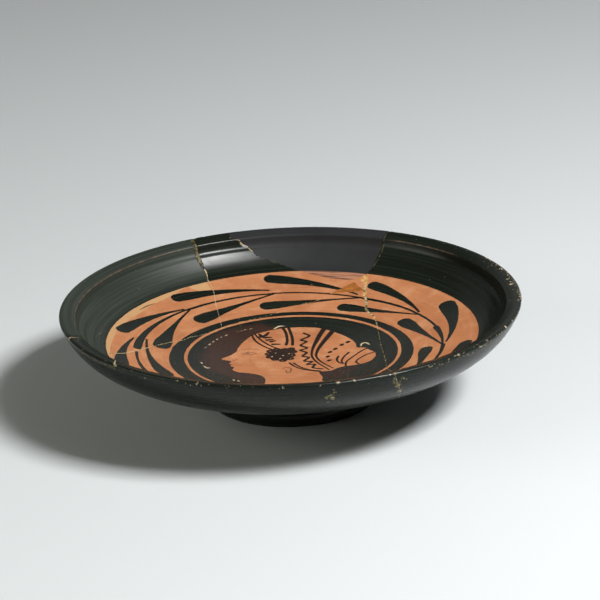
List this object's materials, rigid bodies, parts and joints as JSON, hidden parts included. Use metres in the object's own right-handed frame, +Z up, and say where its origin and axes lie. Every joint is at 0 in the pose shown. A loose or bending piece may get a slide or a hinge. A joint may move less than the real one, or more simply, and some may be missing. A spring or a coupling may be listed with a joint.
{
  "type": "terracotta plate",
  "caption": "Shallow wheel-thrown terracotta plate on a low ring foot, black gloss with a reserved wreath band and a head in the middle, mended from sherds.",
  "frame": {"origin": "middle of the foot's resting ring, on the surface that the plate stands on", "axes": "+Z up along the wheel's axis, -Y towards the viewer, so the rim filling is at the back on +Y"},
  "size_m": [0.2, 0.2, 0.0445],
  "materials": {
    "black_gloss_terracotta": "black gloss slip with reserved red-orange clay",
    "grey_plaster": "matte painted plaster",
    "amber_plaster": "tinted plaster"
  },
  "bodies": {
    "root": {"plate": "black_gloss_terracotta", "rim_filling": "grey_plaster", "floor_filling": "amber_plaster"}
  },
  "joints": []
}
